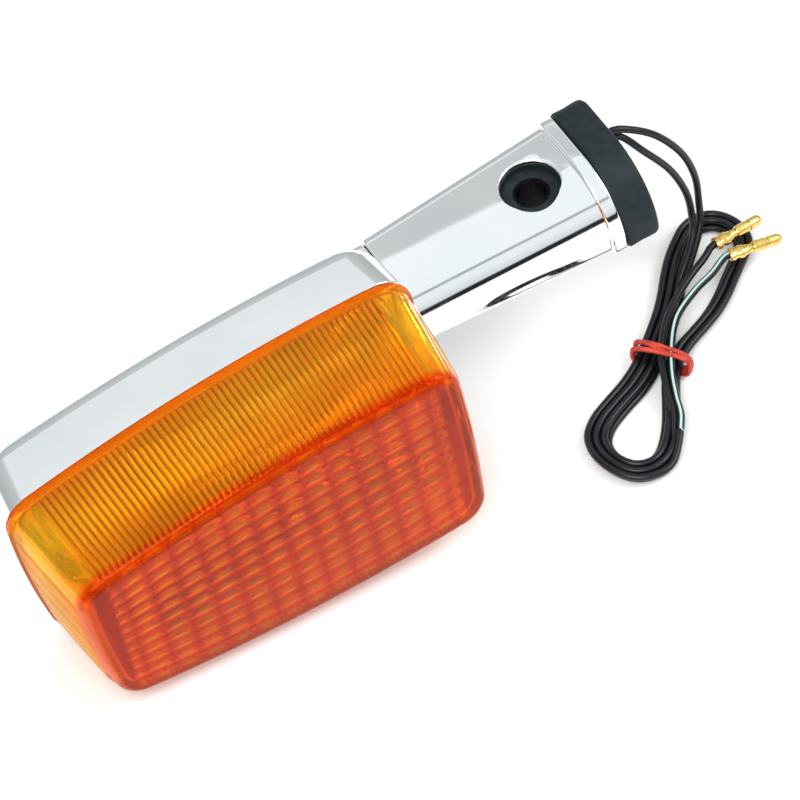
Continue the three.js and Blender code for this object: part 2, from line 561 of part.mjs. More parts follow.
place(harness, 'wire_lead_signal', leadSignal, WIRE_JACKET);
place(harness, 'wire_lead_ground', leadGround, WIRE_JACKET);
place(harness, 'wire_hank', hank, WIRE_JACKET);
place(harness, 'hank_tie', tie, TIE_RUBBER);
place(harness, 'wire_tail_signal', tailSignal, WIRE_JACKET);
place(harness, 'wire_tail_ground', tailGround, WIRE_JACKET);
place(harness, 'bullet_signal', bullet(145, 14.4, 6.6, 5), BRASS);
place(harness, 'bullet_ground', bullet(146, 9.4, 6.6, -8.6), BRASS);

// ---------- whole indicator, its origin under the middle of the lamp and mount ----------
const indicator = new THREE.Group();
indicator.name = 'turn_signal_indicator';
indicator.add(lamp, harness);
indicator.updateMatrixWorld(true);
const extent = new THREE.Box3().setFromObject(lamp, true);
const middle = extent.getCenter(new THREE.Vector3());
indicator.position.set(-middle.x, -middle.y, -extent.min.z);

export default indicator;
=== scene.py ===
"""Looks for the motorcycle turn signal indicator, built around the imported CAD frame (metres, +Z up)."""
import math

import bmesh
import bpy
import numpy as np
from mathutils import Matrix, Vector


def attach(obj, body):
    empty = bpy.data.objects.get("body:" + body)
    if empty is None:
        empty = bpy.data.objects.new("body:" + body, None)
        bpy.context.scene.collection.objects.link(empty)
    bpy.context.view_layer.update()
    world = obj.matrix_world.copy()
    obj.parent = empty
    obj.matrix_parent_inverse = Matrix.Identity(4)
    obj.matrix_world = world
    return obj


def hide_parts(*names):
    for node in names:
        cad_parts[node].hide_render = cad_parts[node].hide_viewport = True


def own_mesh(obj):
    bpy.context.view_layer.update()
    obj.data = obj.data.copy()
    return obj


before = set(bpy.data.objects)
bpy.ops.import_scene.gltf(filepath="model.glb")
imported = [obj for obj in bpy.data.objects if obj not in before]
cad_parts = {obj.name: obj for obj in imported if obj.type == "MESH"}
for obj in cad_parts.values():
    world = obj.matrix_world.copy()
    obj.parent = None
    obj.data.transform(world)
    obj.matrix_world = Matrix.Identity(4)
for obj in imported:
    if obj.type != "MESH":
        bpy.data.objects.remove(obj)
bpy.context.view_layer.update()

# ---------- driving dimensions, in millimetres unless named otherwise ----------
MM = 0.001
RIM_LENGTH = 108.0
RIM_HALF_OUTER = 25.0
RIM_HALF_STEM = 31.5
SIDE_BOW = 4.3
END_BOW = 1.5
OUTER_SLANT = 0.1
TAPER = math.atan((RIM_HALF_STEM - RIM_HALF_OUTER) / RIM_LENGTH)
# The bowed lower side touches the ground at this x.
REST_X = -12.0
TILT = math.atan(math.tan(TAPER) - 8 * SIDE_BOW * REST_X / RIM_LENGTH ** 2)
LAMP_ORIGIN = Vector((-0.032556, -0.003, 0.032508))
HARNESS_SHIFT = Vector((-32.556, -3.0, 0.0))
STEM_Y = 19.6
STEM_Z = 2.2
STEM_START = 57.0
STEM_END = 113.6
NECK_START = 40.0
# The neck starts further in at the back, where the housing slopes away, and clears the bulb in front.
NECK_SLANT = 0.315
STEM_HALF_Z = (8.75, 9.75)
STEM_HALF_Y = (13.2, 16.1)
COLLAR_LENGTH = 3.8
NECK_HALF_Z = 8.15
NECK_HALF_Y = 12.7
MOUNT_HOLE_X = 98.5
MOUNT_HOLE_RADIUS = 7.5
MOUNT_START = STEM_END + 0.15
MOUNT_FACE = MOUNT_START + 9.2
LENS_DEPTH = 31.0
# Where the lens screws stand, along the lamp and across it.
LENS_SCREWS = ((-39.0, -10.0), (39.0, 16.0))
STEM_FRONT_ROUNDING = 3.6
STEM_BACK_ROUNDING = 1.1
STEM_FOOT_ROUNDING = 0.6
WIRE_DIAMETER = 1.9
# A wire's centre line stays this high above the ground.
LOWEST_CENTRE = 1.0
WIRE_EXITS = ((MOUNT_FACE, 26.4, 5.6), (MOUNT_FACE, 26.4, 2.8))

TO_WORLD = Matrix.Translation(LAMP_ORIGIN) @ Matrix.Rotation(-TILT, 4, "Y") @ Matrix.Scale(MM, 4)


def lamp_point(x, y, z):
    """A point given on the lamp's own axes in millimetres, in the row's frame in metres."""
    return TO_WORLD @ Vector((x, y, z))


# ---------- camera ----------
# The view's right and backward directions, on the lamp's own axes.
VIEW_RIGHT = Vector((0.853, -0.500, -0.149))
VIEW_BACK = Vector((-0.204, -0.583, 0.787))
# Metres: how far the view's middle lies right of and above the lamp's origin, and how much of it shows.
VIEW_SHIFT = (0.0411, 0.0148)
VIEW_WIDTH = 0.190476
VIEW_DISTANCE = 1.4
SENSOR_WIDTH = 36.0


def add_camera():
    turn = Matrix.Rotation(-TILT, 3, "Y")
    back = (turn @ VIEW_BACK).normalized()
    up = back.cross(turn @ VIEW_RIGHT).normalized()
    right = up.cross(back)
    target = LAMP_ORIGIN + VIEW_SHIFT[0] * right + VIEW_SHIFT[1] * up
    data = bpy.data.cameras.new("camera")
    data.sensor_width = SENSOR_WIDTH
    data.lens = SENSOR_WIDTH * VIEW_DISTANCE / VIEW_WIDTH
    data.clip_end = 50.0
    camera = bpy.data.objects.new("camera", data)
    axes = Matrix((right, up, back)).transposed().to_4x4()
    camera.matrix_world = Matrix.Translation(target + back * VIEW_DISTANCE) @ axes
    bpy.context.collection.objects.link(camera)
    bpy.context.scene.camera = camera


add_camera()


# ---------- mesh helpers ----------
def mesh_object(name, vertices, faces, material, smooth=True):
    mesh = bpy.data.meshes.new(name)
    mesh.from_pydata([tuple(v) for v in vertices], [], faces)
    mesh.update()
    if smooth:
        mesh.polygons.foreach_set("use_smooth", [True] * len(mesh.polygons))
    obj = bpy.data.objects.new(name, mesh)
    bpy.context.collection.objects.link(obj)
    mesh.materials.append(material)
    return obj


def loft_faces(ring_count, points, loop=False, caps=True):
    faces = []
    spans = ring_count if loop else ring_count - 1
    for k in range(spans):
        a = k * points
        b = ((k + 1) % ring_count) * points
        for i in range(points):
            j = (i + 1) % points
            faces.append((a + i, a + j, b + j, b + i))
    if caps and not loop:
        last = (ring_count - 1) * points
        faces.append(tuple(reversed(range(points))))
        faces.append(tuple(range(last, last + points)))
    return faces


def facing_out(obj):
    """Turns a closed mesh's faces outwards."""
    bm = bmesh.new()
    bm.from_mesh(obj.data)
    bmesh.ops.recalc_face_normals(bm, faces=bm.faces)
    bm.to_mesh(obj.data)
    bm.free()
    return obj


def store(obj, name, values):
    """Keeps a number for each point of a mesh, for its material to read."""
    obj.data.attributes.new(name, "FLOAT", "POINT").data.foreach_set("value", values)


def lofted(name, rings, material, loop=False, caps=True):
    """A smooth body through rings of points on the lamp's axes."""
    points = len(rings[0])
    vertices = [lamp_point(*p) for ring in rings for p in ring]
    obj = mesh_object(name, vertices, loft_faces(len(rings), points, loop, caps), material)
    return facing_out(obj)


def rounded_ring(corners, steps, side_steps=1):
    """A ring round corner arcs, each (a, b, radius, from angle, to angle).

    side_steps is the count of steps along each straight side, one number or one for each side.
    Rows of a, b, outward angle, side number and place along the side.
    """
    ring = []
    for n, (a, b, radius, start, end) in enumerate(corners):
        for i in range(steps + 1):
            angle = start + (end - start) * i / steps
            ring.append((a + radius * math.cos(angle), b + radius * math.sin(angle), angle, n, 0.0))
        c, d, next_radius, next_start, _ = corners[(n + 1) % len(corners)]
        p = ring[-1]
        q = (c + next_radius * math.cos(next_start), d + next_radius * math.sin(next_start))
        count = side_steps[n] if isinstance(side_steps, (list, tuple)) else side_steps
        for i in range(1, count):
            t = i / count
            ring.append((p[0] + (q[0] - p[0]) * t, p[1] + (q[1] - p[1]) * t, end, n, t))
    return ring


def half_height(x):
    return RIM_HALF_OUTER + (RIM_HALF_STEM - RIM_HALF_OUTER) * (x / RIM_LENGTH + 0.5)


def lamp_outline(inset, radius, draft=0.0, steps=8, side_steps=1):
    """The lamp's outline moved inwards, its outer end by draft more and its stem end by a third of that.

    Rows of x, z, outward angle, side number and place along the side.
    """
    margin = inset + radius
    x0 = -RIM_LENGTH / 2 + margin + draft
    x1 = RIM_LENGTH / 2 - margin - draft / 3
    h0 = half_height(x0) - margin / math.cos(TAPER)
    h1 = half_height(x1) - margin / math.cos(TAPER)
    quarter = math.pi / 2
    corners = (
        (x1, -h1, radius, -quarter - TAPER, 0.0),
        (x1, h1, radius, 0.0, quarter + TAPER),
        (x0, h0, radius, quarter + TAPER, math.pi),
        (x0, -h0, radius, math.pi, 3 * quarter - TAPER),
    )
    return [(*bowed(x, z), *rest) for x, z, *rest in rounded_ring(corners, steps, side_steps)]


def bowed(x, z):
    """Bows straight sides outwards, by SIDE_BOW or END_BOW in their middles, and slants the outer end."""
    along = x / (RIM_LENGTH / 2)
    across = z / half_height(x)
    slant = OUTER_SLANT * z * (0.5 - along / 2) ** 2
    return x + END_BOW * along * (1 - across ** 2) - slant, z + SIDE_BOW * across * (1 - along ** 2)


def lamp_ring(inset, depth_outer, depth_stem, radius, draft=0.0, steps=8, side_steps=1):
    ring = []
    for x, z, _, _, _ in lamp_outline(inset, radius, draft, steps, side_steps):
        share = x / RIM_LENGTH + 0.5
        ring.append((x, depth_outer + (depth_stem - depth_outer) * share, z))
    return ring


def stem_ring(x, half_z, half_y, radius, steps=8, side_steps=1):
    """A section across the stem: widely rounded from the top down to the front, with a flat foot."""
    quarter = math.pi / 2
    corners = []
    for n, (sideways, up) in enumerate(((1, -1), (1, 1), (-1, 1), (-1, -1))):
        top_rounding = STEM_FRONT_ROUNDING if sideways < 0 else STEM_BACK_ROUNDING
        bend = radius * (top_rounding if up > 0 else STEM_FOOT_ROUNDING)
        middle = (sideways * (half_y - bend), up * (half_z - bend))
        corners.append((*middle, bend, (n - 1) * quarter, n * quarter))
    return [(x, STEM_Y + a, STEM_Z + b) for a, b, *_ in rounded_ring(corners, steps, side_steps)]


def cut(obj, *cutters):
    """Subtracts closed cutters from a piece and removes them."""
    for cutter in cutters:
        modifier = obj.modifiers.new("cut", "BOOLEAN")
        modifier.operation = "DIFFERENCE"
        modifier.solver = "EXACT"
        modifier.object = cutter
        apply_modifiers(obj)
        bpy.data.objects.remove(cutter)
    return obj


def apply_modifiers(obj):
    graph = bpy.context.evaluated_depsgraph_get()
    made = bpy.data.meshes.new_from_object(obj.evaluated_get(graph))
    old = obj.data
    obj.modifiers.clear()
    obj.data = made
    bpy.data.meshes.remove(old)


def shade_by_angle(obj, degrees=35.0):
    """Smooth shading with edges sharper than the angle kept crisp."""
    obj.data.polygons.foreach_set("use_smooth", [True] * len(obj.data.polygons))
    obj.data.set_sharp_from_angle(angle=math.radians(degrees))


def curve_points(points, count):
    """Points along a Catmull-Rom curve through the given vectors or arrays, count to each span."""
    knots = [2 * points[0] - points[1], *points, 2 * points[-1] - points[-2]]
    fine = []
    for i in range(1, len(knots) - 2):
        p0, p1, p2, p3 = knots[i - 1:i + 3]
        for k in range(count):
            t = k / count
            fine.append(0.5 * (2 * p1 + (p2 - p0) * t + (2 * p0 - 5 * p1 + 4 * p2 - p3) * t * t
                               + (3 * p1 - p0 - 3 * p2 + p3) * t ** 3))
    fine.append(points[-1])
    return fine


def circle(radius, sides):
    turn = [2 * math.pi * i / sides for i in range(sides)]
    return [(radius * math.cos(angle), radius * math.sin(angle)) for angle in turn]


def rod(name, radius, length, axis, centre, material, sides=64):
    """A closed cylinder on the lamp's axes, used as a cutter."""
    x, y, z = centre
    ring = circle(radius, sides)
    rings = []
    for end in (-length / 2, length / 2):
        if axis == "x":
            rings.append([(x + end, y + a, z + b) for a, b in ring])
        elif axis == "y":
            rings.append([(x + a, y + end, z + b) for a, b in ring])
        else:
            rings.append([(x + a, y + b, z + end) for a, b in ring])
    return lofted(name, rings, material)


# ---------- materials ----------
class Nodes:
    """A small helper around one material's node tree."""

    def __init__(self, name):
        self.material = bpy.data.materials.new(name)
        self.material.use_nodes = True
        self.tree = self.material.node_tree
        self.shader = next(n for n in self.tree.nodes if n.type == "BSDF_PRINCIPLED")

    def set(self, **values):
        for key, value in values.items():
            self.shader.inputs[key.replace("_", " ").title().replace("Ior", "IOR")].default_value = value

    def add(self, kind, **inputs):
        node = self.tree.nodes.new(kind)
        for key, value in inputs.items():
            node.inputs[key.replace("_", " ")].default_value = value
        return node

    def link(self, out, socket):
        self.tree.links.new(out, socket)

    def coordinates(self, scale=(1000.0, 1000.0, 1000.0)):
        """Object coordinates in millimetres."""
        place = self.add("ShaderNodeTexCoord")
        mapping = self.add("ShaderNodeMapping")
        mapping.inputs["Scale"].default_value = scale
        self.link(place.outputs["Object"], mapping.inputs["Vector"])
        return mapping.outputs["Vector"]

    def noise(self, scale, detail=3.0, vector=None):
        node = self.add("ShaderNodeTexNoise", Scale=scale, Detail=detail)
        self.link(vector if vector is not None else self.coordinates(), node.inputs["Vector"])
        return node.outputs["Fac"]

    def ramp(self, source, stops):
        node = self.add("ShaderNodeValToRGB")
        elements = node.color_ramp.elements
        while len(elements) < len(stops):
            elements.new(0.5)
        for element, (position, color) in zip(elements, stops):
            element.position = position
            element.color = color if len(color) == 4 else (*color, 1.0)
        self.link(source, node.inputs["Fac"])
        return node.outputs["Color"]

    def base_color(self, source, dark, light):
        self.link(self.ramp(source, [(0.3, dark), (0.7, light)]), self.shader.inputs["Base Color"])

    def spread(self, source, low, high, start=0.0, end=1.0):
        node = self.add("ShaderNodeMapRange")
        node.inputs["From Min"].default_value = start
        node.inputs["From Max"].default_value = end
        node.inputs["To Min"].default_value = low
        node.inputs["To Max"].default_value = high
        self.link(source, node.inputs["Value"])
        return node.outputs["Result"]

    def multiply(self, first, second):
        node = self.add("ShaderNodeMix")
        node.data_type = "RGBA"
        node.blend_type = "MULTIPLY"
        node.inputs["Factor"].default_value = 1.0
        self.link(first, node.inputs[6])
        self.link(second, node.inputs[7])
        return node.outputs[2]

    def bump(self, height, strength, distance):
        node = self.add("ShaderNodeBump", Strength=strength, Distance=distance)
        self.link(height, node.inputs["Height"])
        self.link(node.outputs["Normal"], self.shader.inputs["Normal"])
        return node


def grey(value):
    return (value, value, value)


def chrome_material():
    m = Nodes("chrome")
    m.set(metallic=1.0)
    m.base_color(m.noise(0.035, 3.0), (0.86, 0.89, 0.90), (0.95, 0.965, 0.97))
    smudge = m.noise(0.12, 5.0)
    m.link(m.spread(smudge, 0.03, 0.10, 0.3, 0.75), m.shader.inputs["Roughness"])
    m.bump(m.noise(0.05, 1.0), 0.06, 0.001)
    return m.material


def lens_material():
    """Amber plastic with painted light: the fluted sides painted lighter and yellower, the front redder
    with painted shade deepest along its edge, painted highlights and shade from the pads and ribs, and a
    faint painted glow.
    """
    m = Nodes("amber_lens")
    m.set(ior=1.49, roughness=0.03, specular_ior_level=0.07)
    m.shader.inputs["Transmission Weight"].default_value = 0.82
    m.shader.inputs["Specular Tint"].default_value = (1.0, 0.3, 0.06, 1.0)
    split = m.add("ShaderNodeSeparateXYZ")
    m.link(m.coordinates(), split.inputs["Vector"])
    front = (LAMP_ORIGIN.y / MM) - LENS_DEPTH
    depth = m.spread(split.outputs["Y"], 0.0, 1.0, front - 1.0, front + LENS_DEPTH)
    # Painted light along the lamp's depth: the front redder, a dark line of painted shade along the front's
    # edge, the fluted sides painted lighter and yellower, and darker and redder again near the rim.
    color = m.ramp(depth, [
        (0.0, (0.82, 0.08, 0.003)),
        (0.055, (0.80, 0.075, 0.003)),
        (0.075, (0.55, 0.02, 0.001)),
        (0.105, (0.85, 0.07, 0.003)),
        (0.16, (1.0, 0.42, 0.015)),
        (0.60, (1.0, 0.60, 0.03)),
        (0.90, (1.0, 0.52, 0.02)),
        (0.955, (0.95, 0.24, 0.008)),
    ])
    streak = m.ramp(m.noise(0.06, 3.0), [(0.3, (0.86, 0.80, 0.8)), (0.7, (1.0, 1.0, 1.0))])
    # Painted highlights and shade from the pads and ribs: dark in the hollows between them, bright yellow
    # on the pads' tops.
    painted_light_level = m.add("ShaderNodeAttribute")
    painted_light_level.attribute_name = "painted_light_level"
    pad_highlight_and_shade = m.ramp(painted_light_level.outputs["Fac"], [
        (0.0, (0.50, 0.20, 0.2)),
        (0.4, (0.88, 0.68, 0.7)),
        (0.75, (1.0, 1.0, 1.0)),
        (0.92, (1.0, 2.8, 1.6)),
    ])
    amber_with_painted_light = m.multiply(m.multiply(color, streak), pad_highlight_and_shade)
    m.link(amber_with_painted_light, m.shader.inputs["Base Color"])
    # Painted glow: the lens gives off a little light in its own tinted colour, though it is no lamp.
    m.link(amber_with_painted_light, m.shader.inputs["Emission Color"])
    m.shader.inputs["Emission Strength"].default_value = 0.07
    m.bump(m.noise(0.25, 2.0), 0.03, 0.0005)
    return m.material


def rubber_material():
    m = Nodes("black_rubber")
    m.set(specular_ior_level=0.25)
    m.base_color(m.noise(0.4, 4.0), (0.006, 0.011, 0.013), (0.012, 0.020, 0.023))
    m.link(m.spread(m.noise(0.8, 4.0), 0.42, 0.68), m.shader.inputs["Roughness"])
    m.bump(m.noise(3.0, 3.0), 0.25, 0.0002)
    return m.material


def wire_material(name, pale_band):
    m = Nodes(name)
    m.set(specular_ior_level=0.35)
    m.link(m.spread(m.noise(0.6, 3.0), 0.22, 0.38), m.shader.inputs["Roughness"])
    jacket = m.ramp(m.noise(0.2, 3.0), [(0.3, (0.003, 0.004, 0.006)), (0.7, (0.007, 0.008, 0.011))])
    # A pale teal band along one side of the wire's last stretch.
    if pale_band:
        around = m.add("ShaderNodeAttribute")
        around.attribute_name = "around"
        edges = ((0.44, 0.0), (0.46, 1.0), (0.54, 1.0), (0.56, 0.0))
        band = m.ramp(around.outputs["Fac"], [(place, grey(value)) for place, value in edges])
        mix = m.add("ShaderNodeMix")
        mix.data_type = "RGBA"
        m.link(band, mix.inputs["Factor"])
        m.link(jacket, mix.inputs[6])
        mix.inputs[7].default_value = (0.42, 0.62, 0.58, 1.0)
        m.link(mix.outputs[2], m.shader.inputs["Base Color"])
    else:
        m.link(jacket, m.shader.inputs["Base Color"])
    m.bump(m.noise(1.2, 2.0), 0.08, 0.0002)
    return m.material


def tie_material():
    m = Nodes("red_tie_rubber")
    m.set(specular_ior_level=0.45)
    cloud = m.noise(0.5, 4.0)
    m.base_color(cloud, (0.36, 0.02, 0.012), (0.62, 0.06, 0.03))
    m.link(m.spread(cloud, 0.38, 0.55), m.shader.inputs["Roughness"])
    m.bump(m.noise(2.0, 3.0), 0.2, 0.0002)
    return m.material


def metal_material(name, dark, light, rough_low, rough_high, grain=1.5):
    m = Nodes(name)
    m.set(metallic=1.0)
    m.base_color(m.noise(grain * 0.3, 4.0), dark, light)
    m.link(m.spread(m.noise(grain, 4.0), rough_low, rough_high), m.shader.inputs["Roughness"])
    m.bump(m.noise(grain * 2, 3.0), 0.1, 0.0001)
    return m.material


def phenolic_material():
    m = Nodes("phenolic")
    cloud = m.noise(1.0, 5.0)
    m.base_color(cloud, (0.10, 0.035, 0.012), (0.22, 0.09, 0.035))
    m.link(m.spread(cloud, 0.45, 0.65), m.shader.inputs["Roughness"])
    return m.material


def bulb_glass_material():
    m = Nodes("bulb_glass")
    m.set(ior=1.45, roughness=0.02)
    m.shader.inputs["Transmission Weight"].default_value = 1.0
    m.base_color(m.noise(0.1, 2.0), (0.93, 0.95, 0.95), (0.98, 0.99, 0.99))
    return m.material


CHROME = chrome_material()
LENS = lens_material()
RUBBER = rubber_material()
WIRE_PLAIN = wire_material("wire_plain", False)
WIRE_PALE_BAND = wire_material("wire_pale_band", True)
TIE = tie_material()
BRASS = metal_material("brass", (0.78, 0.50, 0.12), (0.95, 0.70, 0.24), 0.16, 0.30)
BLACK_STEEL = metal_material("black_steel", (0.008, 0.008, 0.012), (0.016, 0.015, 0.022), 0.4, 0.6)
ZINC = metal_material("zinc_steel", (0.42, 0.43, 0.44), (0.60, 0.61, 0.62), 0.25, 0.42)
REFLECTOR = metal_material("reflector_metal", (0.82, 0.84, 0.85), (0.92, 0.93, 0.94), 0.08, 0.18, 0.6)
TUNGSTEN = metal_material("tungsten", (0.25, 0.25, 0.26), (0.38, 0.38, 0.39), 0.3, 0.45)
PHENOLIC = phenolic_material()
BULB_GLASS = bulb_glass_material()

NODE_MATERIALS = {
    RUBBER: ("lens_gasket",),
    REFLECTOR: ("reflector",),
    BULB_GLASS: ("bulb_glass",),
    BRASS: ("bulb_base", "contact_plunger"),
    TUNGSTEN: ("bulb_filament",),
    ZINC: (
        "bulb_contact", "socket_shell", "socket_bracket", "contact_spring", "lens_screw_1", "lens_screw_2",
        "stem_screw_1", "stem_screw_2",
    ),
    BLACK_STEEL: ("mount_sleeve",),
    PHENOLIC: ("socket_insulator",),
    WIRE_PLAIN: ("inner_wire_signal", "inner_wire_ground"),
}
for material, nodes in NODE_MATERIALS.items():
    for node in nodes:
        for place in bpy.data.objects[node].material_slots:
            place.material = material


# ---------- wires ----------
HANK_NEAR = Vector((146.5, 18.5, 0.0))
HANK_FAR = Vector((97.0, -25.5, 0.0))
HANK_AXIS = (HANK_FAR - HANK_NEAR).normalized()
HANK_SIDE = Vector((-HANK_AXIS.y, HANK_AXIS.x, 0.0))
HANK_LENGTH = (HANK_FAR - HANK_NEAR).length
NEAR_LOBE_RADIUS = 10.4
FAR_LOBE_RADIUS = 11.9
LOBE_PITCH = 2.02
WAIST_TUCK = 5.0
# Half of either lobe takes this share of a turn.
LOBE_SHARE = 0.09
# Each wire joins the hank at the first of these turns and leaves it at the second.
HANK_TURNS = (0.16, 2.60)
STEPS_PER_TURN = 34
# The height of the first wire's turns, and how much higher the second's lie.
FIRST_LAYER = 1.05
LAYER_PITCH = 1.68
TIE_PLACE = 40.0
# A pale teal band shows along one side of the wire on this many points at its end.
PALE_BAND_STEPS = 44


def hank_point(a, b, z):
    """A point along and across the hank, loosened by a slow sideways drift."""
    drift = 0.7 * math.sin(0.085 * a + 0.7) - 0.4 * math.sin(0.21 * a)
    place = HANK_NEAR + HANK_AXIS * (a + 0.5 * math.sin(0.25 * b)) + HANK_SIDE * (b + drift)
    return Vector((place.x, place.y, z)) + HARNESS_SHIFT


def racetrack(t, inset):
    """A pinched oval: t from 0 to 1 runs from the near tip along one side, round the far lobe and back."""
    near = NEAR_LOBE_RADIUS - inset
    far = FAR_LOBE_RADIUS - inset
    waist_power = math.log(0.5) / math.log(TIE_PLACE / HANK_LENGTH)
    half = min(t, 1 - t)
    if half < LOBE_SHARE:
        angle = math.pi - half / LOBE_SHARE * math.pi / 2
        a, b = near * math.cos(angle), near * math.sin(angle)
    elif half < 0.5 - LOBE_SHARE:
        share = (half - LOBE_SHARE) / (0.5 - 2 * LOBE_SHARE)
        radius = near + (far - near) * share * share * (3 - 2 * share)
        a = HANK_LENGTH * share
        b = radius - WAIST_TUCK * math.sin(math.pi * share ** waist_power) ** 2
    else:
        angle = (0.5 - half) / LOBE_SHARE * math.pi / 2
        a, b = HANK_LENGTH + far * math.cos(angle), far * math.sin(angle)
    return a, b if t > 0.5 else -b


def smooth_path(points, step=1.2):
    """Points evenly spaced along a curve through the given ones."""
    fine = curve_points(points, 12)
    path, walked = [fine[0]], 0.0
    for a, b in zip(fine, fine[1:]):
        walked += (b - a).length
        if walked >= step:
            path.append(b)
            walked = 0.0
    if (path[-1] - fine[-1]).length > step * 0.3:
        path.append(fine[-1])
    return path


def tube_mesh(name, path, radius, material, sides=14, closed=False):
    """A round tube swept along points in millimetres.

    The last points, as many as the pale band covers, carry their place around the tube, for that band.
    """
    count = len(path)
    tangents = []
    for i in range(count):
        before = path[(i - 1) % count] if closed or i > 0 else path[0]
        after = path[(i + 1) % count] if closed or i < count - 1 else path[-1]
        tangents.append((after - before).normalized())
    normal = tangents[0].orthogonal().normalized()
    vertices, around = [], []
    for i, (point, tangent) in enumerate(zip(path, tangents)):
        normal = (normal - tangent * normal.dot(tangent)).normalized()
        side = tangent.cross(normal)
        for k in range(sides):
            angle = 2 * math.pi * k / sides
            offset = normal * (math.cos(angle) * radius) + side * (math.sin(angle) * radius)
            vertices.append((point + offset) * MM)
            around.append(k / sides if count - i < PALE_BAND_STEPS else 0.0)
    obj = mesh_object(name, vertices, loft_faces(count, sides, loop=closed), material)
    facing_out(obj)
    store(obj, "around", around)
    shade_by_angle(obj, 60)
    return obj


# Points of each wire between its exit and the hank.
LEADS = (
    (
        (134.2, 24.2, 45.0), (140.9, 22.8, 36.0), (144.4, 22.2, 26.0),
        (145.6, 22.6, 15.0), (143.6, 19.6, 7.5),
    ),
    (
        (131.0, 23.4, 41.5), (137.4, 22.4, 32.0), (141.4, 21.8, 22.0),
        (142.8, 21.6, 13.0), (141.2, 18.8, 7.4),
    ),
)
# Points of each wire's tail over the hank, along it, across it and up.
TAILS = (
    (
        (58, 7.6, 3.6), (52, 4.2, 4.9), (46, 1.2, 5.2), (40, -1.2, 5.3),
        (31, -2.8, 5.2), (22, -2.6, 5.1), (14, -1.2, 5.2), (8, 0.6, 5.8),
    ),
    (
        (59, 9.6, 4.4), (53, 6.6, 5.0), (47, 3.8, 5.2), (40, 1.4, 5.3),
        (32, -0.4, 5.2), (26, -0.5, 5.2), (18, 1.4, 5.2), (12.5, 3.8, 5.6),
    ),
)


def wire_route(index):
    """Exit, lead, turns of the hank, and tail of one wire, in millimetres."""
    layer = FIRST_LAYER + LAYER_PITCH * index
    exit_point = lamp_point(*WIRE_EXITS[index]) / MM
    outward = (lamp_point(1, 0, 0) - lamp_point(0, 0, 0)).normalized()
    points = [exit_point, exit_point + outward * 4 + Vector((0, -0.4, 0))]
    points += [Vector(p) + HARNESS_SHIFT for p in LEADS[index]]
    first, last = HANK_TURNS
    for i in range(int((last - first) * STEPS_PER_TURN) + 1):
        turn = first + i / STEPS_PER_TURN
        a, b = racetrack(turn % 1.0, LOBE_PITCH * (last - turn) + LOBE_PITCH / 2 * (1 - index))
        points.append(hank_point(a, b, layer))
    for a, b, z in TAILS[index]:
        place = HANK_NEAR + HANK_AXIS * a + HANK_SIDE * b + HARNESS_SHIFT
        points.append(Vector((place.x, place.y, z)))
    bullet, heading = BULLETS[index]
    points.append(bullet + HARNESS_SHIFT - heading * 1.0)
    points.append(bullet + HARNESS_SHIFT + heading * 3.0)
    path = smooth_path(points)
    for point in path:
        point.z = max(point.z, LOWEST_CENTRE)
    return path


BULLETS = (
    (Vector((145.0, 14.4, 6.6)), Vector((math.cos(math.radians(5)), math.sin(math.radians(5)), 0.0))),
    (Vector((146.0, 9.4, 6.6)), Vector((math.cos(math.radians(-8.6)), math.sin(math.radians(-8.6)), 0.0))),
)


# The terminal's place along its length and its radius there.
BULLET_PROFILE = (
    (0.0, 1.0), (0.0, 1.5), (0.25, 1.7), (1.1, 1.7), (1.6, 1.42), (2.1, 1.42), (2.6, 1.66), (3.6, 1.66),
    (4.1, 1.4), (4.7, 1.3), (5.3, 1.1), (6.2, 1.1), (6.5, 1.4), (6.9, 1.48), (9.8, 1.48), (10.0, 1.3),
    (10.4, 1.3), (10.6, 1.48), (12.9, 1.46), (13.7, 1.2), (14.2, 0.7), (14.4, 0.2),
)
# The crimp presses this much of the barrel into an oval.
CRIMP_LENGTH = 5
CRIMP_PRESS = 0.86


def add_bullet(name, index):
    """A crimped brass bullet terminal: open barrel with two crimp waists, neck and round-nosed pin."""
    start, heading = BULLETS[index]
    sides = 32
    side = Vector((-heading.y, heading.x, 0.0))
    up = Vector((0, 0, 1))
    vertices = []
    for x, radius in BULLET_PROFILE:
        press = CRIMP_PRESS if x < CRIMP_LENGTH else 1.0
        for a, b in circle(radius, sides):
            offset = side * (a * (2 - press)) + up * (b * press)
            vertices.append((start + HARNESS_SHIFT + heading * x + offset) * MM)
    obj = facing_out(mesh_object(name, vertices, loft_faces(len(BULLET_PROFILE), sides), BRASS))
    shade_by_angle(obj, 40)
    return obj


for index, (name, material) in enumerate((("signal_wire", WIRE_PLAIN), ("ground_wire", WIRE_PALE_BAND))):
    path = wire_route(index)
    wire = tube_mesh(name, path, WIRE_DIAMETER / 2, material)
    kind = name.split("_")[0]
    bullet = add_bullet(f"{kind}_bullet", index)
    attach(wire, "lamp_body")
    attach(bullet, "lamp_body")
    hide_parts(f"bullet_{kind}")
    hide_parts(f"wire_lead_{kind}", f"wire_tail_{kind}", "wire_hank")


# ---------- amber lens ----------
LENS_SHORT_STEPS = 128
LENS_LONG_STEPS = 232
LENS_ARC_STEPS = 8
FLUTES = (32, 58, 22, 58)
FLUTE_HEIGHT = 0.5
PILLOW_ROWS = 11
PILLOW_LENGTH = 7.0
PILLOW_HEIGHT = 1.2
# The plain margins outside the pads, at the long sides and at the ends.
PILLOW_SIDE_MARGIN = 6.8
PILLOW_END_MARGIN = 8.5
# The level of painted light on the ribs, the bosses and the plain parts of the lens; the grooves get
# painted shade.
RIB_PAINTED_LIGHT = 0.76
# The smooth outer front is painted with the pads' pattern, with painted shade this dark between the pads.
FRONT_PAINTED_SHADE = 0.1


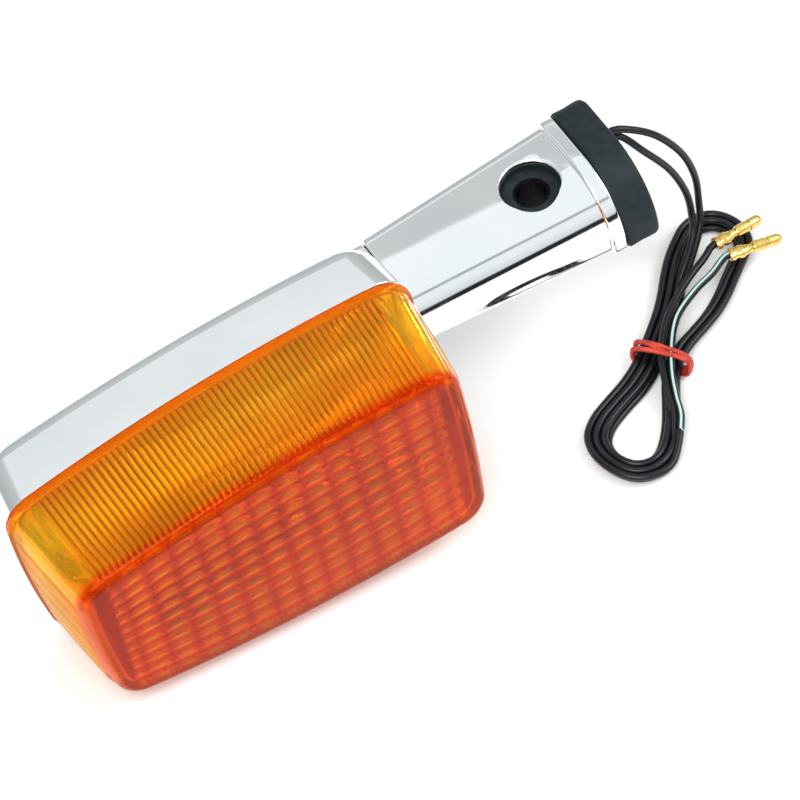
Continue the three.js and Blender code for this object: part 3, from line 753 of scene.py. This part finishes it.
def lens_ring(inset, depth, radius, flute=0.0):
    """One ring of the lens; flute is the height of the ribs that run from rim to front.

    Rows of x, y, z and the level of painted light, which is 0 in a groove, painted as shade, and the ribs'
    level on a rib.
    """
    sides = (LENS_SHORT_STEPS, LENS_LONG_STEPS, LENS_SHORT_STEPS, LENS_LONG_STEPS)
    ring = []
    for x, z, angle, side, along in lamp_outline(inset, radius, 0.0, LENS_ARC_STEPS, sides):
        wave = abs(math.sin(math.pi * FLUTES[side] * along)) if 0.0 < along < 1.0 else 1.0
        rib = flute * wave if 0.0 < along < 1.0 else 0.0
        # Ribs get the ribs' level of painted light and the grooves between them painted shade.
        painted_light_level = RIB_PAINTED_LIGHT * (wave if flute else 1.0)
        ring.append((x + rib * math.cos(angle), depth, z + rib * math.sin(angle), painted_light_level))
    start = LENS_ARC_STEPS // 2
    return np.array(ring[start:] + ring[:start])


def grid_from_ring(ring):
    """A grid that fills a ring, with the order of its border points."""
    rows = LENS_SHORT_STEPS + LENS_ARC_STEPS
    columns = LENS_LONG_STEPS + LENS_ARC_STEPS
    total = 2 * (rows + columns)
    bottom_order = [(2 * rows + columns + i) % total for i in range(columns + 1)]
    top_order = [rows + columns - i for i in range(columns + 1)]
    left_order = [2 * rows + columns - j for j in range(rows + 1)]
    right_order = list(range(rows + 1))
    bottom, top, left, right = (ring[order] for order in (bottom_order, top_order, left_order, right_order))
    u = np.linspace(0, 1, columns + 1)[:, None, None]
    v = np.linspace(0, 1, rows + 1)[None, :, None]
    grid = (1 - v) * bottom[:, None] + v * top[:, None] + (1 - u) * left[None] + u * right[None]
    grid -= (1 - v) * ((1 - u) * bottom[0] + u * bottom[-1]) + v * ((1 - u) * top[0] + u * top[-1])
    border = [columns * (rows + 1) + j for j in range(rows)]
    border += [(columns - i) * (rows + 1) + rows for i in range(columns)]
    border += [rows - j for j in range(rows)]
    border += [i * (rows + 1) for i in range(columns)]
    return grid, border, columns, rows


def pillow_relief(grid):
    """Convex pads in fanned rows, with a smooth margin round them."""
    x, z = grid[..., 0], grid[..., 2]
    half = half_height(x) + SIDE_BOW * (1 - (2 * x / RIM_LENGTH) ** 2) - PILLOW_SIDE_MARGIN
    row = (z / half + 1) / 2 * PILLOW_ROWS
    column = x / PILLOW_LENGTH
    across = 1 - np.abs(2 * (row % 1.0) - 1) ** 1.8
    along = 1 - 0.75 * np.abs(2 * (column % 1.0) - 1) ** 2.4
    inside = np.clip((1 - np.abs(z) / half) * 16, 0, 1)
    ends = np.clip((RIM_LENGTH / 2 - PILLOW_END_MARGIN - np.abs(x)) / 1.2, 0, 1)
    return across * along * inside * ends


def build_lens():
    outer = lens_ring(5.3, -LENS_DEPTH + 0.35, 5.0)
    grid, border, columns, rows = grid_from_ring(outer)
    crown = np.clip(1 - (grid[..., 0] / 52) ** 2, 0, 1) * np.clip(1 - (grid[..., 2] / 28) ** 2, 0, 1)
    grid[..., 1] -= 0.7 * crown
    # The smooth outer front is painted with the pads' pattern of painted highlights and shade.
    grid[..., 3] = FRONT_PAINTED_SHADE + (1 - FRONT_PAINTED_SHADE) * pillow_relief(grid)
    rings = [
        lens_ring(4.45, -LENS_DEPTH + 0.75, 5.3),
        lens_ring(3.9, -LENS_DEPTH + 1.35, 5.7),
        lens_ring(3.55, -LENS_DEPTH + 2.3, 6.0, 0.03),
        lens_ring(3.35, -LENS_DEPTH + 3.3, 6.2, FLUTE_HEIGHT * 0.7),
        lens_ring(3.25, -LENS_DEPTH + 4.2, 6.3, FLUTE_HEIGHT),
        lens_ring(2.1, -LENS_DEPTH * 0.5, 6.6, FLUTE_HEIGHT),
        lens_ring(1.05, -4.0, 7.0, FLUTE_HEIGHT),
        lens_ring(0.95, -2.9, 7.0, FLUTE_HEIGHT * 0.6),
        lens_ring(0.85, -2.1, 7.0),
        lens_ring(0.65, -1.75, 7.0),
        lens_ring(0.25, -1.6, 7.0),
        lens_ring(0.0, -1.35, 7.0),
        lens_ring(0.0, -0.55, 7.0),
        lens_ring(0.25, -0.3, 7.0),
        lens_ring(3.3, -0.3, 5.0),
        lens_ring(4.6, -14.0, 4.6),
        lens_ring(6.0, -LENS_DEPTH + 5.0, 4.4),
        lens_ring(6.5, -LENS_DEPTH + 3.6, 4.2),
    ]
    inner = lens_ring(7.3, -LENS_DEPTH + 3.1, 3.9)
    inner_grid, inner_border, _, _ = grid_from_ring(inner)
    inner_grid[..., 1] -= 0.6 * crown
    pillows = pillow_relief(inner_grid)
    inner_grid[..., 1] += PILLOW_HEIGHT * pillows
    # The pads' tops are given painted highlights and the hollows between them painted shade, through this
    # level.
    inner_grid[..., 3] = pillows
    points = (columns + 1) * (rows + 1)
    vertices = [grid.reshape(-1, 4)] + rings + [inner_grid.reshape(-1, 4)]
    starts = [points + k * len(outer) for k in range(len(rings))]
    inner_start = points + len(rings) * len(outer)
    loops = [border] + [[start + i for i in range(len(outer))] for start in starts]
    loops.append([inner_start + i for i in inner_border])
    faces = []
    for a, b in zip(loops, loops[1:]):
        for i in range(len(a)):
            j = (i + 1) % len(a)
            faces.append((a[i], a[j], b[j], b[i]))
    for offset, flip in ((0, False), (inner_start, True)):
        for i in range(columns):
            for j in range(rows):
                a = offset + i * (rows + 1) + j
                b = a + rows + 1
                quad = (a, a + 1, b + 1, b)
                faces.append(tuple(reversed(quad)) if flip else quad)
    flat = np.concatenate(vertices)
    lens = facing_out(mesh_object("amber_lens", [lamp_point(*v) for v in flat[:, :3]], faces, LENS))
    # The lens keeps each point's level of painted light and shade for its material.
    store(lens, "painted_light_level", flat[:, 3])
    shade_by_angle(lens, 40)
    return lens


# A screw boss's depth and radius, from the front round to its bore.
BOSS_PROFILE = (
    (-26.4, 4.6), (-25.6, 3.9), (-24.0, 3.6), (18.6, 3.3),
    (19.1, 3.0), (19.1, 2.05), (2.0, 2.05), (1.6, 0.4),
)
lens = build_lens()
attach(lens, "lens_body")
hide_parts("lens")
for number, (x, z) in enumerate(LENS_SCREWS, 1):
    rings = [[(x + a, depth, z + b) for a, b in circle(radius, 40)] for depth, radius in BOSS_PROFILE]
    boss = lofted(f"lens_boss_{number}", rings, LENS)
    # The bosses take the ribs' level of painted light.
    store(boss, "painted_light_level", [RIB_PAINTED_LIGHT] * len(boss.data.vertices))
    shade_by_angle(boss, 40)
    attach(boss, "lens_body")


# ---------- chrome housing ----------
def add_weighted_normals(obj):
    modifier = obj.modifiers.new("normals", "WEIGHTED_NORMAL")
    modifier.keep_sharp = True
    modifier.weight = 80
    apply_modifiers(obj)


def build_housing():
    # Each row: inset, depth at the outer end, depth at the stem end, corner radius, draft of the outer end.
    back_rows = (
        (0.9, 13.8, 12.0, 7.0, 0.8),
        (1.25, 15.7, 13.9, 7.0, 1.2),
        (2.0, 17.4, 15.6, 7.0, 1.8),
        (4.5, 21.7, 19.7, 7.0, 2.6),
        (9.0, 26.4, 25.0, 6.2, 3.0),
        (13.0, 30.4, 29.8, 5.2, 3.0),
        (14.4, 31.6, 31.2, 4.8, 3.0),
    )
    back = curve_points([np.array(row) for row in back_rows], 4)
    outside = [
        (0.35, 0.0, 0.0, 6.8, 0.0),
        (0.08, 0.12, 0.12, 7.0, 0.0),
        (0.0, 0.4, 0.4, 7.0, 0.1),
        (0.4, 7.0, 6.0, 7.0, 0.5),
        *back,
        (15.4, 32.0, 31.9, 4.4, 3.0),
        (17.0, 32.2, 32.1, 3.4, 3.0),
    ]
    wall = 1.0
    inside = [(0.9, 0.0, 0.0, 6.2, 0.0), (wall, 0.3, 0.3, 6.0, 0.1), (wall, 7.0, 6.0, 6.0, 0.7)]
    inside += [(row[0] + wall, row[1] - wall * 0.8, row[2] - wall * 0.8, 4.6, row[4]) for row in back]
    rings = [lamp_ring(*row, steps=10, side_steps=24) for row in reversed(outside)]
    rings += [lamp_ring(*row, steps=10, side_steps=24) for row in inside]
    return lofted("chrome_housing", rings, CHROME)


def build_neck():
    # Each row: place along the stem, half height, half width, corner radius.
    z, y = NECK_HALF_Z, NECK_HALF_Y
    rows = (
        (NECK_START, z, y, 3.8),
        (STEM_START - 0.6, z, y, 3.8),
        (STEM_START - 0.2, z - 0.3, y - 0.3, 3.7),
        (STEM_START - 0.2, z - 1.25, y - 1.4, 3.25),
        (STEM_START - 0.6, z - 1.4, y - 1.5, 3.2),
        (NECK_START, z - 1.4, y - 1.5, 3.2),
    )
    rings = [stem_ring(*row, steps=10) for row in rows]
    for end in (0, -1):
        rings[end] = [(x - NECK_SLANT * (y - STEM_Y), y, z) for x, y, z in rings[end]]
    return lofted("stem_neck", rings, CHROME, loop=True)


housing = build_housing()
for x, z in LENS_SCREWS:
    seat = rod("seat", 4.6, 20.0, "y", (x, 34.0, z), CHROME)
    way = rod("way", 2.2, 30.0, "y", (x, 20.0, z), CHROME)
    cut(housing, seat, way)
neck_section = (NECK_HALF_Z - 0.2, NECK_HALF_Y - 0.2, 3.7)
neck_hole = lofted("neck_hole", [stem_ring(x, *neck_section, steps=10) for x in (42.0, 60.0)], CHROME)
cut(housing, neck_hole)
shade_by_angle(housing, 50)
add_weighted_normals(housing)
neck = build_neck()
shade_by_angle(neck, 50)
add_weighted_normals(neck)
for piece in (housing, neck):
    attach(piece, "lamp_body")
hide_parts("housing")


# ---------- chrome stem ----------
def build_stem():
    body_end = STEM_END - COLLAR_LENGTH
    z0, z1 = STEM_HALF_Z
    y0, y1 = STEM_HALF_Y
    taper_start = STEM_START + 0.6
    taper_end = body_end - 0.8
    # Each row: place along the stem, half height, half width, corner radius.
    rows = [
        (STEM_START, z0 - 0.6, y0 - 0.6, 3.6),
        (STEM_START + 0.15, z0 - 0.25, y0 - 0.25, 3.9),
        (taper_start, z0, y0, 4.1),
    ]
    for k in range(1, 12):
        share = k / 12
        x = taper_start + (taper_end - taper_start) * share
        rows.append((x, z0 + (z1 - z0) * share, y0 + (y1 - y0) * share, 4.1))
    rows += [
        (body_end - 0.5, z1, y1, 4.1),
        (body_end - 0.1, z1 + 0.12, y1 + 0.12, 4.2),
        (body_end + 0.15, z1 + 0.6, y1 + 0.6, 4.4),
        (body_end + 0.45, z1 + 0.92, y1 + 0.92, 4.6),
        (body_end + 0.9, z1 + 1.0, y1 + 1.0, 4.7),
        (STEM_END - 0.7, z1 + 1.0, y1 + 1.0, 4.7),
        (STEM_END - 0.25, z1 + 0.9, y1 + 0.9, 4.6),
        (STEM_END, z1 + 0.55, y1 + 0.55, 4.4),
        (STEM_END, z1 - 1.2, y1 - 1.2, 3.5),
        (STEM_END - 0.5, z1 - 1.4, y1 - 1.4, 3.4),
        (STEM_START + 5, z0 - 1.4, y0 - 1.4, 3.3),
        (STEM_START + 5, z0 - 6, y0 - 6, 1.0),
    ]
    stem = lofted("chrome_stem", [stem_ring(*row, steps=12, side_steps=4) for row in rows], CHROME)
    # The mount hole's height over the stem's middle, and how much it widens there.
    hole_rings = []
    for z, flare in ((3.0, 0.0), (9.0, 0.0), (9.3, 0.25), (9.8, 0.9), (14.0, 0.9)):
        ring = circle(MOUNT_HOLE_RADIUS + flare, 96)
        hole_rings.append([(MOUNT_HOLE_X + a, STEM_Y + b, STEM_Z + z) for a, b in ring])
    hole = lofted("hole", hole_rings, CHROME)
    cut(stem, hole, rod("bolt_way", 4.4, 12.0, "z", (MOUNT_HOLE_X, STEM_Y, STEM_Z - 10.0), CHROME))
    shade_by_angle(stem, 50)
    add_weighted_normals(stem)
    return stem


stem = build_stem()
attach(stem, "lamp_body")
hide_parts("stem")


# ---------- rubber mount ----------
def build_mount():
    # Each row: place along the stem, half height, half width, corner radius.
    flange_rows = (
        (MOUNT_START, 9.1, 15.4, 3.6),
        (MOUNT_START, 10.1, 16.4, 4.2),
        (MOUNT_START + 0.35, 10.75, 17.05, 4.7),
        (MOUNT_START + 0.9, 11.1, 17.4, 5.0),
        (MOUNT_START + 4.0, 11.0, 17.3, 5.0),
        (MOUNT_START + 6.4, 11.1, 17.4, 5.0),
        (MOUNT_FACE - 1.4, 11.1, 17.4, 5.0),
        (MOUNT_FACE - 0.6, 10.8, 17.1, 4.8),
        (MOUNT_FACE - 0.15, 10.3, 16.6, 4.5),
        (MOUNT_FACE, 9.6, 15.9, 4.2),
        (MOUNT_FACE, 8.2, 14.4, 3.2),
    )
    plug_rows = (
        (84.0, 6.2, 11.4, 2.2),
        (84.6, 6.6, 11.8, 2.4),
        (86.0, 7.1, 12.3, 2.75),
        (MOUNT_START + 0.6, 8.0, 14.3, 3.2),
    )
    flange_rings = [stem_ring(*row, steps=10, side_steps=4) for row in flange_rows]
    plug_rings = [stem_ring(*row, steps=8, side_steps=2) for row in plug_rows]
    flange = lofted("rubber_mount", flange_rings, RUBBER)
    plug = lofted("rubber_plug", plug_rings, RUBBER)
    recess = rod("recess", 7.35, 4.0, "z", (MOUNT_HOLE_X, STEM_Y, STEM_Z + 8.4), RUBBER)
    cut(plug, recess, rod("bolt", 4.65, 60.0, "z", (MOUNT_HOLE_X, STEM_Y, 0.0), RUBBER))
    for _, y, z in WIRE_EXITS:
        cut(flange, rod("wire_way", 1.2, 16.0, "x", (MOUNT_FACE, y, z), RUBBER, 32))
        cut(plug, rod("wire_way", 1.2, 40.0, "x", (MOUNT_HOLE_X, y, z), RUBBER, 32))
    for piece in (flange, plug):
        shade_by_angle(piece, 45)
        add_weighted_normals(piece)
        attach(piece, "lamp_body")
    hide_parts("mount_rubber")


build_mount()


# ---------- rubber band round the hank ----------
# Each turn of the band: its place along the hank, how far it leans, and its own radius.
TIE_TURNS = ((39.2, 0.05, 0.62), (41.0, -0.06, 0.66), (40.2, 0.16, 0.5))
TIE_HALF_WIDTH = 7.5
TIE_HALF_HEIGHT = 2.7
TIE_MIDDLE = 3.3


def add_tie():
    for number, (at, lean, thick) in enumerate(TIE_TURNS, 1):
        loop = []
        for k in range(72):
            angle = 2 * math.pi * k / 72
            c, s = math.cos(angle), math.sin(angle)
            b = TIE_HALF_WIDTH * math.copysign(abs(c) ** 0.55, c)
            z = TIE_MIDDLE + (TIE_HALF_HEIGHT + 0.15 * number) * math.copysign(abs(s) ** 0.6, s)
            loop.append(hank_point(at + lean * b + 0.25 * math.sin(3 * angle + number), b, max(z, thick)))
        band = tube_mesh(f"tie_band_{number}", loop, thick, TIE, closed=True)
        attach(band, "lamp_body")
        if number == 1:
            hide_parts("hank_tie")


add_tie()


# ---------- contact spring ----------
BULB_Y = 9.0
SPRING_START = 41.75
SPRING_END = 47.5
SPRING_TURNS = 4
SPRING_RADIUS = 2.6


def add_contact_spring():
    """The coil behind the bulb's contact, built at one fixed length; the real coil shortens as the bulb is
    pushed in.
    """
    count = 40 * SPRING_TURNS
    path = []
    for i in range(count + 1):
        angle = 2 * math.pi * SPRING_TURNS * i / count
        x = SPRING_START + (SPRING_END - SPRING_START) * i / count
        place = lamp_point(x, BULB_Y + SPRING_RADIUS * math.cos(angle), SPRING_RADIUS * math.sin(angle))
        path.append(place / MM)
    spring = tube_mesh("contact_coil", path, 0.3, ZINC, sides=8)
    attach(spring, "lamp_body")
    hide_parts("contact_spring")
    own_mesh(spring)


add_contact_spring()


# ---------- studio ----------
def add_floor():
    m = Nodes("studio_floor")
    m.set(roughness=0.9, specular_ior_level=0.1)
    m.base_color(m.noise(0.002, 2.0), grey(0.90), grey(0.92))
    size = 3.0
    corners = [(-size, -size, 0), (size, -size, 0), (size, size, 0), (-size, size, 0)]
    floor = mesh_object("floor", corners, [(0, 1, 2, 3)], m.material)


def add_softbox(name, place, aim, size, power, tint=(1.0, 1.0, 1.0)):
    data = bpy.data.lights.new(name, "AREA")
    data.shape = "RECTANGLE"
    data.size, data.size_y = size
    data.energy = power
    data.color = tint
    light = bpy.data.objects.new(name, data)
    light.location = place
    light.rotation_euler = (Vector(aim) - Vector(place)).to_track_quat("-Z", "Y").to_euler()
    bpy.context.collection.objects.link(light)


def add_world():
    world = bpy.data.worlds.new("studio")
    world.use_nodes = True
    tree = world.node_tree
    background = next(n for n in tree.nodes if n.type == "BACKGROUND")
    place = tree.nodes.new("ShaderNodeTexCoord")
    split = tree.nodes.new("ShaderNodeSeparateXYZ")
    spread = tree.nodes.new("ShaderNodeMapRange")
    spread.inputs["From Min"].default_value = -1.0
    tree.links.new(place.outputs["Generated"], split.inputs["Vector"])
    tree.links.new(split.outputs["Z"], spread.inputs["Value"])

    def height_ramp(stops):
        ramp = tree.nodes.new("ShaderNodeValToRGB")
        elements = ramp.color_ramp.elements
        while len(elements) < len(stops):
            elements.new(0.5)
        for element, (position, value) in zip(elements, stops):
            element.position = position
            element.color = (value * 0.97, value, value * 1.01, 1.0)
        tree.links.new(spread.outputs["Result"], ramp.inputs["Fac"])
        return ramp.outputs["Color"]

    # In front of the lamp a black line at the horizon and a grey one high up.
    # Behind it a grey wall with a pale band and a darker one over it, and white above.
    front = height_ramp([
        (0.0, 0.6), (0.44, 0.6), (0.47, 0.02), (0.565, 0.02), (0.58, 0.75), (0.70, 0.95),
        (0.78, 0.95), (0.79, 0.45), (0.81, 0.45), (0.825, 1.0), (1.0, 1.0),
    ])
    behind = height_ramp([
        (0.0, 0.5), (0.60, 0.50), (0.78, 0.60), (0.815, 0.86), (0.872, 0.88),
        (0.882, 0.64), (0.905, 0.62), (0.914, 1.0), (1.0, 1.0),
    ])
    side = tree.nodes.new("ShaderNodeMapRange")
    side.inputs["From Min"].default_value = -0.1
    side.inputs["From Max"].default_value = 0.1
    tree.links.new(split.outputs["Y"], side.inputs["Value"])
    mix = tree.nodes.new("ShaderNodeMix")
    mix.data_type = "RGBA"
    tree.links.new(side.outputs["Result"], mix.inputs["Factor"])
    tree.links.new(front, mix.inputs[6])
    tree.links.new(behind, mix.inputs[7])
    tree.links.new(mix.outputs[2], background.inputs["Color"])
    background.inputs["Strength"].default_value = 1.0
    bpy.context.scene.world = world


add_floor()
add_world()
add_softbox("key_softbox", (-0.5, -0.5, 0.9), (0.0, 0.0, 0.0), (0.7, 0.7), 9.0)
add_softbox("fill_softbox", (0.7, -0.3, 0.7), (0.0, 0.0, 0.0), (0.5, 0.5), 4.0)
bpy.context.scene.view_settings.view_transform = "Standard"
